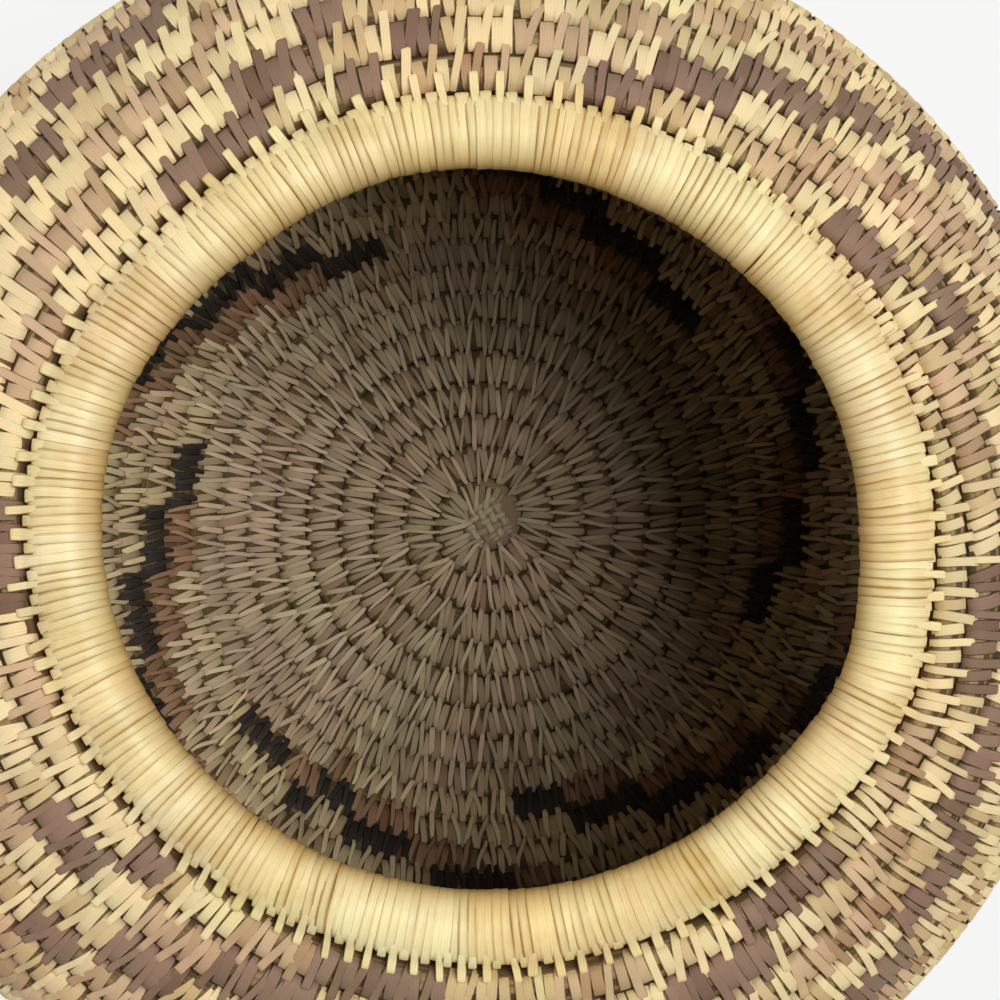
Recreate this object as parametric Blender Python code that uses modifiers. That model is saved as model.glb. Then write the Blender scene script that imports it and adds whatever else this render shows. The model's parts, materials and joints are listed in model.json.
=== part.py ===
"""Coiled basket of plant fibre: a grass foundation wound in rows from a start knot,
up a bellied wall and in over the shoulder, to a thick rim coil wrapped with splints."""

import math

import bmesh
import bpy
import numpy as np
from mathutils import Vector

# Driving sizes of the wall, in metres
BASE_RADIUS = 0.038
BELLY_RADIUS = 0.1013
BELLY_HEIGHT = 0.099
RIM_RADIUS = 0.0610
RIM_HEIGHT = 0.1337
# How far each end of the two wall curves keeps its direction
HEEL_REACH = 0.030
WALL_REACH = 0.015
BELLY_REACH = 0.011
NECK_REACH = 0.036
NECK_SLOPE = math.radians(12)

# The coil: wanted height of a row along the wall, and what is left between rows
ROW_PITCH = 0.0066
ROW_GAP = 0.0007
START_RADIUS = 0.0115
TOUCH_GAP = 0.0003
# The row below the rim and the rim are many-cornered, so their tubes need more room
SEAT_GAP = 0.0008
POINTS_PER_LOOP = 24
# The coil ends in a tail that thins away under the rim, and the rows there lie level
TAIL_AZIMUTH = math.radians(57)
TAIL_ARC = math.radians(77)
TAIL_TIP_RADIUS = 0.0008
LEVEL_ROWS = 12

# The start knot, a small plaited pad that the first row grows from
KNOT_RADIUS = 0.0056
KNOT_HEIGHT = 0.0058
KNOT_EDGE = 0.0014
KNOT_HOOK_TURNS = 0.85
KNOT_HOOK_POINTS = 14

# The rim: a thick bundle and the strips wound round it, one after the other
RIM_OUTER_RADIUS = 0.0058
WRAP_THICKNESS = 0.0010
WRAP_COUNT = 28
WRAP_END_RUN = 0.0010

# Handmade unevenness: the mouth and base sit off the belly's axis, and the mouth
# is a little oval, with one flat stretch and one corner
MOUTH_SHIFT = (0.0044, 0.0030)
OVAL = 0.0015
OVAL_AZIMUTH = math.radians(-12)
FLAT_DEPTH = 0.0021
FLAT_AZIMUTH = math.radians(132)
FLAT_SPREAD = math.radians(22)
CORNER_RISE = 0.0013
CORNER_AZIMUTH = math.radians(338)
CORNER_SPREAD = math.radians(12)

# The wall's zones, each one unbroken tube, with the share of the rows at its top
ZONES = (
    ("base_coil", 0.13, (0.36, 0.30, 0.23)),
    ("heel_coil", 0.29, (0.42, 0.34, 0.26)),
    ("lower_wall_coil", 0.45, (0.50, 0.39, 0.28)),
    ("upper_wall_coil", 0.61, (0.56, 0.43, 0.31)),
    ("belly_coil", 0.78, (0.66, 0.52, 0.37)),
    ("shoulder_coil", 1.0, (0.76, 0.61, 0.43)),
)
KNOT_COLOUR = (0.33, 0.27, 0.21)
RIM_CORE_COLOUR = (0.45, 0.36, 0.20)
WRAP_COLOUR = (0.83, 0.68, 0.38)

# Sides of a row's tube and of the rim, and how far out their flats lie
ROW_SIDES = 6
RIM_SIDES = 8
HEX_FLAT = math.cos(math.pi / ROW_SIDES)
OCTAGON_FLAT = math.cos(math.pi / RIM_SIDES)
GAP_SAMPLES = 4
# Share of the tube's radius that is cut away flat where the basket stands
FOOT_CUT = 0.2
WELD = 1e-6


def smooth(share):
    share = min(max(share, 0.0), 1.0)
    return share * share * (3 - 2 * share)


def bezier(start, start_hold, end_hold, end, steps=600):
    """Points of one cubic curve, each given as (radius, height)."""
    t = np.linspace(0, 1, steps)[:, None]
    corners = [np.array(corner) for corner in (start, start_hold, end_hold, end)]
    weights = ((1 - t) ** 3, 3 * (1 - t) ** 2 * t, 3 * (1 - t) * t**2, t**3)
    return sum(weight * corner for weight, corner in zip(weights, corners))


def wall_profile():
    """Arc length from the centre of the base, radius and height along the coil's centreline."""
    foot = row_radius(ROW_PITCH) * (1 - FOOT_CUT)
    lower = bezier(
        (BASE_RADIUS, foot),
        (BASE_RADIUS + HEEL_REACH, foot),
        (BELLY_RADIUS, BELLY_HEIGHT - WALL_REACH),
        (BELLY_RADIUS, BELLY_HEIGHT),
    )
    neck = NECK_REACH * np.array((math.cos(NECK_SLOPE), -math.sin(NECK_SLOPE)))
    rim = np.array((RIM_RADIUS, RIM_HEIGHT))
    upper = bezier(
        (BELLY_RADIUS, BELLY_HEIGHT),
        (BELLY_RADIUS, BELLY_HEIGHT + BELLY_REACH),
        rim + neck,
        rim,
    )
    points = np.concatenate([[(0.0, foot)], lower, upper[1:]])
    arc = np.concatenate([[0], np.cumsum(np.linalg.norm(np.diff(points, axis=0), axis=1))])
    return arc, points[:, 0], points[:, 1], arc[len(lower)]


def row_radius(room, bend=0.0):
    """Radius of a six-sided tube that leaves the row gap to the next one, this far off and
    turned by this much. Where the wall bends, the corners of the flats come nearest."""
    return (room - ROW_GAP) / 2 / math.cos(math.pi / ROW_SIDES - bend / 2)


ARC, RADIUS, HEIGHT, BELLY_ARC = wall_profile()
RIM_ARC = ARC[-1]
RIM_SEAT = RIM_OUTER_RADIUS + SEAT_GAP + (ROW_PITCH - ROW_GAP) / 2
TURNS = 1 + round((RIM_ARC - RIM_SEAT - START_RADIUS) / ROW_PITCH)
PITCH = (RIM_ARC - RIM_SEAT - START_RADIUS) / (TURNS - 1)
TAIL_TURN = TAIL_ARC / math.tau


def near(azimuth, centre, spread):
    """1 at a direction, fading to 0 past its spread to either side."""
    apart = math.remainder(azimuth - centre, math.tau)
    return math.exp(-((apart / spread) ** 2))


def unevenness(azimuth):
    """How far out the handmade mouth stands from a true circle."""
    oval = OVAL * math.cos(2 * (azimuth - OVAL_AZIMUTH))
    flat = FLAT_DEPTH * near(azimuth, FLAT_AZIMUTH, FLAT_SPREAD)
    corner = CORNER_RISE * near(azimuth, CORNER_AZIMUTH, CORNER_SPREAD)
    return oval - flat + corner


def wall_point(arc, azimuth):
    """The centreline at this arc length and direction, before the part is centred."""
    radius = np.interp(arc, ARC, RADIUS)
    above = smooth((arc - BELLY_ARC) / (RIM_ARC - BELLY_ARC))
    below = 1 - smooth((arc - BASE_RADIUS) / (BELLY_ARC - BASE_RADIUS))
    radius += above * unevenness(azimuth)
    off_axis = max(above, below)
    return Vector(
        (
            off_axis * MOUTH_SHIFT[0] + radius * math.cos(azimuth),
            off_axis * MOUTH_SHIFT[1] + radius * math.sin(azimuth),
            np.interp(arc, ARC, HEIGHT),
        )
    )


def wall_slope(arc):
    """The wall's angle above level at this arc length, over a right angle past the belly."""
    step = PITCH / 4
    run = np.interp(arc + step, ARC, RADIUS) - np.interp(arc - step, ARC, RADIUS)
    rise = np.interp(arc + step, ARC, HEIGHT) - np.interp(arc - step, ARC, HEIGHT)
    return math.atan2(rise, run)


def climb(turn):
    """Rows climbed after so many turns: a steady climb at the base, and below the rim
    level rows that climb only in the tail's stretch."""
    part = turn - math.floor(turn)
    step = smooth((part - 1 + TAIL_TURN) / TAIL_TURN)
    level = smooth((turn - TURNS + 1 + LEVEL_ROWS) / LEVEL_ROWS)
    return turn + level * (step - part)


def azimuth_of(turn):
    return TAIL_AZIMUTH + math.tau * turn


def row_point(turn):
    return wall_point(START_RADIUS + PITCH * climb(turn), azimuth_of(turn))


def coil_station(turn):
    """Centre, radius and tilt at this turn. Each row fills the room that the rows beside
    it leave, and its flats face them."""
    centre = row_point(turn)
    arc = START_RADIUS + PITCH * climb(turn)
    tilt = -wall_slope(arc) - math.pi / ROW_SIDES
    if turn > TURNS - 1:
        return (*last_row(turn), tilt)
    room = min((centre - row_point(turn - 1)).length, (row_point(turn + 1) - centre).length)
    bend = max(abs(wall_slope(arc + side * PITCH) - wall_slope(arc)) for side in (-1, 1))
    return centre, row_radius(room, bend), tilt


def last_row(turn):
    """Centre and radius where the coil fills the room between the row below and the rim."""
    below, below_radius, _ = coil_station(turn - 1)
    across = wall_point(RIM_ARC, azimuth_of(turn)) - below
    start = HEX_FLAT * below_radius + ROW_GAP
    end = across.length - RIM_OUTER_RADIUS - SEAT_GAP
    return below + across.normalized() * (start + end) / 2, (end - start) / 2 / HEX_FLAT


def half_joint(turn):
    """Turns from a joint to the nearest corner, so that the coil runs straight for one
    diameter on either side of it."""
    straight = PITCH + TOUCH_GAP / 2
    radius = np.interp(START_RADIUS + PITCH * turn, ARC, RADIUS)
    return max(math.asin(min(straight / radius, 1)) / math.tau, 0.5 / POINTS_PER_LOOP)


def loop_turns(loop):
    """The turns of one loop's corners, with a joint's straight run before the first."""
    first = loop + half_joint(loop)
    last = loop + 1 - half_joint(loop + 1)
    return np.linspace(first, last, POINTS_PER_LOOP)


def joint_ends(loop):
    """The end below and the start above the joint in front of this loop."""
    before = coil_station(loop - half_joint(loop))
    after = coil_station(loop + half_joint(loop))
    middle = (before[0] + after[0]) / 2
    back = (after[0] - before[0]).normalized() * TOUCH_GAP / 2
    radius = min(before[1], after[1])
    return (middle - back, radius, before[2]), (middle + back, radius, after[2])


def tail_tip():
    """The turn at which the tail gets too thin to go on."""
    turns = np.linspace(TURNS - TAIL_TURN, TURNS, 200)
    return max(turn for turn in turns if coil_station(turn)[1] > TAIL_TIP_RADIUS)


def coil_stations(first, last):
    """Stations of the coil from one joint to another, or to the tail's tip."""
    stations = [joint_ends(first)[1]]
    for loop in range(first, min(last, TURNS - 1)):
        stations += [coil_station(turn) for turn in loop_turns(loop)]
    if last < TURNS:
        return stations + [joint_ends(last)[0]]
    tip = tail_tip()
    turns = [turn for turn in loop_turns(TURNS - 1) if turn < tip]
    return stations + [coil_station(turn) for turn in (*turns, tip)]


def new_collection(name):
    collection = bpy.data.collections.new(name)
    bpy.context.scene.collection.children.link(collection)
    return collection


def fibre(name, colour, roughness):
    material = bpy.data.materials.new(name)
    material.use_nodes = True
    surface = material.node_tree.nodes["Principled BSDF"]
    surface.inputs["Base Color"].default_value = (*colour, 1)
    surface.inputs["Roughness"].default_value = roughness
    surface.inputs["Metallic"].default_value = 0
    return material


def tube(name, stations, material, sides, capped=True):
    """A curve object through stations of centre, radius and tilt."""
    curve = bpy.data.curves.new(name, "CURVE")
    curve.dimensions = "3D"
    curve.twist_mode = "Z_UP"
    curve.bevel_depth = 1.0
    curve.bevel_resolution = sides // 2 - 2
    curve.use_fill_caps = capped
    spline = curve.splines.new("POLY")
    spline.points.add(len(stations) - 1)
    for point, (centre, radius, tilt) in zip(spline.points, stations):
        point.co = (*(centre + SHIFT), 1)
        point.radius = radius
        point.tilt = tilt
    spline.use_smooth = True
    curve.materials.append(material)
    made = bpy.data.objects.new(name, curve)
    PARTS.objects.link(made)
    return made


def evaluated_mesh(made):
    graph = bpy.context.evaluated_depsgraph_get()
    return bpy.data.meshes.new_from_object(made.evaluated_get(graph))


def as_mesh(made):
    """The same object as a mesh with its caps welded on."""
    mesh = evaluated_mesh(made)
    name = made.name
    curve = made.data
    bpy.data.objects.remove(made)
    bpy.data.curves.remove(curve)
    shape = bmesh.new()
    shape.from_mesh(mesh)
    bmesh.ops.remove_doubles(shape, verts=shape.verts, dist=WELD)
    shape.to_mesh(mesh)
    shape.free()
    mesh.name = name
    made = bpy.data.objects.new(name, mesh)
    PARTS.objects.link(made)
    return made


def cut(made, cutter, operation="DIFFERENCE"):
    boolean = made.modifiers.new(cutter.name, "BOOLEAN")
    boolean.operation = operation
    boolean.object = cutter


def hide_as_cutter(made):
    for collection in made.users_collection:
        collection.objects.unlink(made)
    CUTTERS.objects.link(made)
    made.hide_render = True
    made.display_type = "WIRE"


def floor_cutter():
    """A block whose top is the surface that the basket stands on."""
    side = 4 * BELLY_RADIUS
    bpy.ops.mesh.primitive_cube_add(size=side, location=(0, 0, -side / 2))
    block = bpy.context.object
    block.name = "floor_cutter"
    hide_as_cutter(block)
    return block


def coil_zones():
    """Each zone's name, stations and colour, from the start knot to the tail."""
    zones = []
    first = 0
    for name, share, colour in ZONES:
        last = round(share * TURNS)
        zones.append((name, coil_stations(first, last), colour))
        first = last
    return zones


def middle_of(zones):
    """The middle of the coil's outline seen from above."""
    stations = [station for _, stations, _ in zones for station in stations]
    middle = Vector((0, 0, 0))
    for axis in (0, 1):
        high = max(centre[axis] + radius for centre, radius, _ in stations)
        low = min(centre[axis] - radius for centre, radius, _ in stations)
        middle[axis] = (high + low) / 2
    return middle


def make_coil(zones, floor):
    """The zones' tubes, cut flat where they stand. It prints the least gap between rows."""
    rings = []
    for name, stations, colour in zones:
        made = tube(name, stations, fibre(name, colour, 0.75), ROW_SIDES)
        mesh = evaluated_mesh(made)
        points = np.array([vertex.co for vertex in mesh.vertices])
        rings.append(points[-ROW_SIDES * len(stations) :].reshape(-1, ROW_SIDES, 3))
        bpy.data.meshes.remove(mesh)
        if min(centre.z - radius for centre, radius, _ in stations) < 0:
            cut(as_mesh(made), floor)
    print(f"least gap between rows {1000 * least_gap(np.concatenate(rings)):.2f} mm")


def least_gap(rings):
    """The least distance between the rows, from points set along the tubes' edges."""
    steps = np.linspace(0, 1, GAP_SAMPLES, endpoint=False)[None, :, None, None]
    between = rings[:-1, None] * (1 - steps) + rings[1:, None] * steps
    between = between.reshape(-1, ROW_SIDES, 3)
    half_loop = POINTS_PER_LOOP * GAP_SAMPLES // 2
    least = BELLY_RADIUS
    for index in range(len(between) - half_loop):
        others = between[index + half_loop : index + 3 * half_loop].reshape(-1, 3)
        apart = np.linalg.norm(others[None] - between[index][:, None], axis=2)
        least = min(least, apart.min())
    return least


def make_knot(floor):
    """The start knot: a low round pad, with the coil's first hook growing out of it."""
    material = fibre("start_knot", KNOT_COLOUR, 0.8)
    centre = wall_point(0, 0) + SHIFT
    bpy.ops.mesh.primitive_cylinder_add(
        vertices=24,
        radius=KNOT_RADIUS,
        depth=KNOT_HEIGHT,
        location=(centre.x, centre.y, KNOT_HEIGHT / 2),
    )
    pad = bpy.context.object
    pad.name = "knot_pad"
    edge = pad.modifiers.new("edge", "BEVEL")
    edge.width = KNOT_EDGE
    edge.segments = 2
    hide_as_cutter(pad)
    turns = np.linspace(-KNOT_HOOK_TURNS, -half_joint(0), KNOT_HOOK_POINTS)
    stations = [coil_station(turn) for turn in turns]
    stations.append(joint_ends(0)[0])
    hook = as_mesh(tube("start_knot", stations, material, ROW_SIDES))
    cut(hook, pad, "UNION")
    cut(hook, floor)


def rim_corners():
    """Directions of the rim's corners. The first and last lie either side of the joint of
    its bundle, which runs straight there for one diameter each way."""
    straight = 2 * RIM_OUTER_RADIUS + TOUCH_GAP / 2
    half = max(math.asin(straight / RIM_RADIUS), math.pi / WRAP_COUNT)
    return np.linspace(TAIL_AZIMUTH + half, TAIL_AZIMUTH + math.tau - half, WRAP_COUNT)


def make_rim():
    """The rim's bundle, and round it the wrapping strips, each a sleeve of close turns."""
    corners = [wall_point(RIM_ARC, azimuth) for azimuth in rim_corners()]
    joint = (corners[0] + corners[-1]) / 2
    back = (corners[0] - corners[-1]).normalized() * TOUCH_GAP / 2
    inside = RIM_OUTER_RADIUS * OCTAGON_FLAT - WRAP_THICKNESS
    core_radius = (inside - TOUCH_GAP) / OCTAGON_FLAT
    path = [joint + back, *corners, joint - back]
    bundle = fibre("rim_core", RIM_CORE_COLOUR, 0.8)
    tube("rim_core", [(point, core_radius, 0) for point in path], bundle, RIM_SIDES)
    for index in range(WRAP_COUNT):
        make_wrap(index, corners)


def make_wrap(index, corners):
    """One strip's stretch of the rim, from corner to corner. Short runs along the rim at
    its ends keep them square to the next strip's."""
    start, end = corners[index - 1], corners[index]
    before, after = corners[index - 2], corners[(index + 1) % WRAP_COUNT]
    across = (end - start).normalized()
    along_start = ((start - before).normalized() + across).normalized()
    along_end = ((after - end).normalized() + across).normalized()
    path = (
        start + along_start * TOUCH_GAP / 2,
        start + along_start * WRAP_END_RUN,
        end - along_end * WRAP_END_RUN,
        end - along_end * TOUCH_GAP / 2,
    )
    name = f"rim_wrap_{index + 1:02d}"
    stations = [(point, RIM_OUTER_RADIUS, 0) for point in path]
    sleeve = tube(name, stations, fibre(name, WRAP_COLOUR, 0.45), RIM_SIDES, capped=False)
    wall = sleeve.modifiers.new("wall", "SOLIDIFY")
    wall.thickness = WRAP_THICKNESS
    wall.offset = -1
    wall.use_even_offset = True


for old in list(bpy.data.objects):
    bpy.data.objects.remove(old)
PARTS = new_collection("coiled_basket")
CUTTERS = new_collection("cutters")
COIL = coil_zones()
SHIFT = -middle_of(COIL)
FLOOR = floor_cutter()
make_coil(COIL, FLOOR)
make_knot(FLOOR)
make_rim()
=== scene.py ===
"""Coiled basket seen from above: a grass bundle wound in rows, sewn row to row with splints
that are made one by one, and a thick rim wrapped with pale strips."""

import json
import math

import bmesh
import bpy
import numpy as np
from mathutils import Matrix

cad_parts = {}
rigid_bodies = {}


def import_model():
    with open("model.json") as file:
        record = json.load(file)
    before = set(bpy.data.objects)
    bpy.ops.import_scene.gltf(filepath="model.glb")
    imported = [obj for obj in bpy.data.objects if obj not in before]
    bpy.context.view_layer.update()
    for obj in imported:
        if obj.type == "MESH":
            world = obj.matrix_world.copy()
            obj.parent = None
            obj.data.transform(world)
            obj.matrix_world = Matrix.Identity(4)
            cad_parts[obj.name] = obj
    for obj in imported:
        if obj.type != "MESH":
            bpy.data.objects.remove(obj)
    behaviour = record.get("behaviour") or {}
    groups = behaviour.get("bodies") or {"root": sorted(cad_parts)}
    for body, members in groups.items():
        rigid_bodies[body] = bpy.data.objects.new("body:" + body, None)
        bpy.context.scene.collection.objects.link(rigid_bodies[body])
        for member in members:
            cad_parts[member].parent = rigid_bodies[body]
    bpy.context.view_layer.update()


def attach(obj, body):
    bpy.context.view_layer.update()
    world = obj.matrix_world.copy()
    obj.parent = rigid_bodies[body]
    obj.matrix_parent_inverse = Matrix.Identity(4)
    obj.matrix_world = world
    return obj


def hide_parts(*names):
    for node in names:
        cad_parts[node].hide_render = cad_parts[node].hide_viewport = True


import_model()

# Camera
# It looks straight down from half a metre above the table, a little off the basket's axis,
# with the picture's top towards +Y.
bpy.context.scene.view_settings.view_transform = "Standard"
camera = bpy.data.objects.new("camera", bpy.data.cameras.new("camera"))
camera.data.sensor_width = 36
camera.data.lens = 88.2
camera.location = (0.0073, 0.0073, 0.5)
bpy.context.scene.collection.objects.link(camera)
bpy.context.scene.camera = camera

# The wall's curve
# The coil follows the same curve as the CAD's: out over the base, up to the belly and in to
# the rim. Lengths are metres.
BASE_RADIUS = 0.038
BELLY = (0.1013, 0.099)
RIM = (0.0610, 0.1337)
FOOT = 0.0027251
START_RADIUS = 0.0115
ROW_GAP = 0.0007
RIM_OUTER_RADIUS = 0.0058
RIM_SEAT = 0.00955
TURNS = 31
TAIL_AZIMUTH = math.radians(57)
TAIL_TURN = 77 / 360
LEVEL_ROWS = 12
MOUTH_SHIFT = (0.0044, 0.0030)
SHIFT = np.array((-0.0000239, -0.0000474, 0.0))
# The CAD's loops have straight sides, and these circles run midway between corners and sides
ROUND_COIL = 0.9957
ROUND_RIM = 0.9969


def smooth(share):
    share = np.clip(share, 0.0, 1.0)
    return share * share * (3 - 2 * share)


def unit(vectors):
    return vectors / np.linalg.norm(vectors, axis=-1, keepdims=True)


def square_to(along, up):
    """The directions up, turned square to the directions along."""
    return unit(up - along * np.sum(up * along, axis=-1, keepdims=True))


def bezier(start, start_hold, end_hold, end):
    """Points of one cubic curve, each given as (radius, height)."""
    t = np.linspace(0, 1, 600)[:, None]
    corners = [np.array(corner) for corner in (start, start_hold, end_hold, end)]
    weights = ((1 - t) ** 3, 3 * (1 - t) ** 2 * t, 3 * (1 - t) * t**2, t**3)
    return sum(weight * corner for weight, corner in zip(weights, corners))


lower = bezier(
    (BASE_RADIUS, FOOT), (BASE_RADIUS + 0.030, FOOT), (BELLY[0], BELLY[1] - 0.015), BELLY
)
# The neck runs down from the rim at 12 degrees
neck_slope = math.radians(12)
neck = (RIM[0] + 0.036 * math.cos(neck_slope), RIM[1] - 0.036 * math.sin(neck_slope))
upper = bezier(BELLY, (BELLY[0], BELLY[1] + 0.011), neck, RIM)
profile = np.concatenate([[(0.0, FOOT)], lower, upper[1:]])
ARC = np.concatenate([[0], np.cumsum(np.linalg.norm(np.diff(profile, axis=0), axis=1))])
BELLY_ARC = ARC[len(lower)]
RIM_ARC = ARC[-1]
PITCH = (RIM_ARC - RIM_SEAT - START_RADIUS) / (TURNS - 1)


def unevenness(azimuth):
    """How far out the handmade mouth stands from a true circle: oval, with one flat stretch
    and one corner."""

    def swell(middle, width):
        """One where the azimuth is at the middle, and falling off to either side of it."""
        apart = np.remainder(azimuth - math.radians(middle) + math.pi, math.tau) - math.pi
        return np.exp(-((apart / math.radians(width)) ** 2))

    oval = 0.0015 * np.cos(2 * (azimuth - math.radians(-12)))
    return oval - 0.0021 * swell(132, 22) + 0.0013 * swell(338, 12)


def wall_point(arc, azimuth, roundness):
    """Points of the wall's middle at these arc lengths and directions."""
    above = smooth((arc - BELLY_ARC) / (RIM_ARC - BELLY_ARC))
    below = 1 - smooth((arc - BASE_RADIUS) / (BELLY_ARC - BASE_RADIUS))
    radius = (np.interp(arc, ARC, profile[:, 0]) + above * unevenness(azimuth)) * roundness
    off_axis = np.maximum(above, below)
    x = off_axis * MOUTH_SHIFT[0] + radius * np.cos(azimuth)
    y = off_axis * MOUTH_SHIFT[1] + radius * np.sin(azimuth)
    return np.stack([x, y, np.interp(arc, ARC, profile[:, 1])], axis=-1) + SHIFT


def rim_point(azimuth):
    return wall_point(np.full(np.shape(azimuth), RIM_ARC), azimuth, ROUND_RIM)


def climb(turn):
    """Rows climbed after so many turns. Below the rim the rows lie level and climb only in
    the stretch over the tail."""
    part = turn - np.floor(turn)
    step = smooth((part - 1 + TAIL_TURN) / TAIL_TURN)
    level = smooth((turn - TURNS + 1 + LEVEL_ROWS) / LEVEL_ROWS)
    return turn + level * (step - part)


def azimuth_of(turn):
    return TAIL_AZIMUTH + math.tau * turn


def row_point(turn):
    return wall_point(START_RADIUS + PITCH * climb(turn), azimuth_of(turn), ROUND_COIL)


def coil(turn):
    """The coil's centres at these turns and half its rows' heights. The last row fills the
    room that is left under the rim, and thins away with it."""
    centre = row_point(turn)
    below = row_point(turn - 1)
    above = row_point(turn + 1)
    gap_below = np.linalg.norm(centre - below, axis=-1)
    room = np.minimum(gap_below, np.linalg.norm(above - centre, axis=-1))
    across = rim_point(azimuth_of(turn)) - below
    reach = np.linalg.norm(across, axis=-1)
    room_below = np.linalg.norm(below - row_point(turn - 2), axis=-1)
    start = np.minimum(room_below, gap_below) / 2
    end = reach - RIM_OUTER_RADIUS - ROW_GAP
    last = turn > TURNS - 1
    seat = below + unit(across) * ((start + end) / 2)[:, None]
    half = np.where(last, np.maximum((end - start) / 2, 0.0002), room / 2)
    return np.where(last[:, None], seat, centre), half


def coil_frame(turn):
    """Centre, direction along the coil, direction up the wall and half height."""
    centre, half = coil(turn)
    below, _ = coil(turn - 1)
    along = unit(coil(turn + 0.002)[0] - coil(turn - 0.002)[0])
    return centre, along, square_to(along, centre - below), half


# Grass bundle
# A round-backed bundle of thin stems, dark where it shows between the stitches: its own colour
# with painted shade, darker the further round from its outer crest. Each zone of the wall has
# its stretch, from face to face with the next.
ROW_HALF = 0.0032574
BUNDLE_DEEP = 0.00226
BUNDLE_OVERLAP = 1.03
STATIONS_PER_TURN = 120
FLATNESS = 0.52
ZONES = (
    ("base_coil", 0, 4, "plain_coil"),
    ("heel_coil", 4, 9, "plain_coil"),
    ("lower_wall_coil", 9, 14, "patterned_coil"),
    ("upper_wall_coil", 14, 19, "patterned_coil"),
    ("belly_coil", 19, 24, "patterned_coil"),
    ("shoulder_coil", 24, 31, "patterned_coil"),
)


def colour(red, green, blue):
    """A colour from its 0 to 255 values on screen."""
    values = [value / 255 for value in (red, green, blue)]
    return (*[v / 12.92 if v <= 0.04045 else ((v + 0.055) / 1.055) ** 2.4 for v in values], 1)


def add_node(owner, kind, inputs=None, **settings):
    """A node in a material, a world or a tree, with its settings, and with its inputs set to
    values or linked from sockets."""
    tree = getattr(owner, "node_tree", owner)
    node = tree.nodes.new(kind)
    for key, value in settings.items():
        setattr(node, key, value)
    for key, value in (inputs or {}).items():
        if isinstance(value, bpy.types.NodeSocket):
            tree.links.new(value, node.inputs[key])
        else:
            node.inputs[key].default_value = value
    return node


def calculate(owner, operation, *values):
    """One step of arithmetic on numbers or sockets."""
    inputs = dict(enumerate(values))
    return add_node(owner, "ShaderNodeMath", inputs, operation=operation).outputs[0]


def spread_over(owner, value, least, most, first, last):
    """The value moved from between least and most to between first and last."""
    inputs = {"Value": value, "From Min": least, "From Max": most, "To Min": first, "To Max": last}
    return add_node(owner, "ShaderNodeMapRange", inputs).outputs["Result"]


def attribute(material, name):
    return add_node(material, "ShaderNodeAttribute", attribute_name=name).outputs["Fac"]


def multiplied(material, share, base, tint):
    """The base colour with this share of it multiplied by the tint."""
    inputs = {0: share, 6: base, 7: tint}
    mix = add_node(material, "ShaderNodeMix", inputs, data_type="RGBA", blend_type="MULTIPLY")
    return mix.outputs[2]


def with_value(material, tint, value):
    """The tint with its brightness changed by this much."""
    inputs = {"Color": tint, "Value": value}
    return add_node(material, "ShaderNodeHueSaturation", inputs).outputs["Color"]


def new_material(name, roughness):
    material = bpy.data.materials.new(name)
    material.use_nodes = True
    surface = material.node_tree.nodes["Principled BSDF"]
    surface.inputs["Roughness"].default_value = roughness
    surface.inputs["Specular IOR Level"].default_value = 0.3
    return material, surface


def streaks(material, across, along, detail=3.0):
    """Noise drawn out along a strip or bundle, from its own coordinates."""
    place = add_node(material, "ShaderNodeTexCoord")
    inputs = {"Vector": place.outputs["UV"], "Scale": (across, along, 1)}
    stretch = add_node(material, "ShaderNodeMapping", inputs)
    inputs = {"Vector": stretch.outputs["Vector"], "Scale": 1.0, "Detail": detail}
    return add_node(material, "ShaderNodeTexNoise", inputs).outputs["Fac"]


def bump(material, surface, height, strength, distance):
    inputs = {"Height": height, "Strength": strength, "Distance": distance}
    made = add_node(material, "ShaderNodeBump", inputs)
    material.node_tree.links.new(made.outputs["Normal"], surface.inputs["Normal"])


def stem_material(name, dark, light):
    """Thin stems side by side, darker between them, and darker away from the wall's outer face as
    painted shade, down in the grooves between rows and on the inner face.
    """
    material, surface = new_material(name, 0.8)
    stems = streaks(material, 30, 0.5)
    place = add_node(material, "ShaderNodeTexCoord")
    parts = add_node(material, "ShaderNodeSeparateXYZ", {"Vector": place.outputs["UV"]})
    round_it = calculate(material, "MULTIPLY", parts.outputs["X"], math.tau)
    facing = calculate(material, "COSINE", round_it)
    # Painted shade: the bundle darkens towards its sides and inner face, and lightens on its crest
    painted_groove_shade = spread_over(material, facing, 0.55, 0.95, -0.3, 0.15)
    stems_and_painted_shade = calculate(material, "ADD", stems, painted_groove_shade)
    ramp = add_node(material, "ShaderNodeValToRGB", {"Fac": stems_and_painted_shade})
    for stop, position, tint in zip(ramp.color_ramp.elements, (0.2, 0.75), (dark, light)):
        stop.position = position
        stop.color = tint
    material.node_tree.links.new(ramp.outputs["Color"], surface.inputs["Base Color"])
    bump(material, surface, stems, 0.6, 0.0003)
    return material


def new_piece(name, mesh, slot, *nodes):
    """An object that belongs to the basket and stands for these CAD nodes."""
    piece = bpy.data.objects.new(name, mesh)
    bpy.context.scene.collection.objects.link(piece)
    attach(piece, "root")
    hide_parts(*nodes)
    return piece


def flat_cosine(angle, flatness):
    """A cosine whose crest is flattened, so that an oval becomes a rounded bar."""
    return np.sign(np.cos(angle)) * np.abs(np.cos(angle)) ** flatness


def tube_faces(count, sides, closed):
    """Faces between so many rings of points, one after the other, with an end on each side
    where the last ring doesn't join the first."""
    faces = []
    for ring in range(count if closed else count - 1):
        this = ring * sides
        other = (ring + 1) % count * sides
        for i in range(sides):
            j = (i + 1) % sides
            faces.append((this + i, this + j, other + j, other + i))
    if not closed:
        faces.append(tuple(range(sides)))
        faces.append(tuple(range((count - 1) * sides, count * sides)))
    return faces


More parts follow.
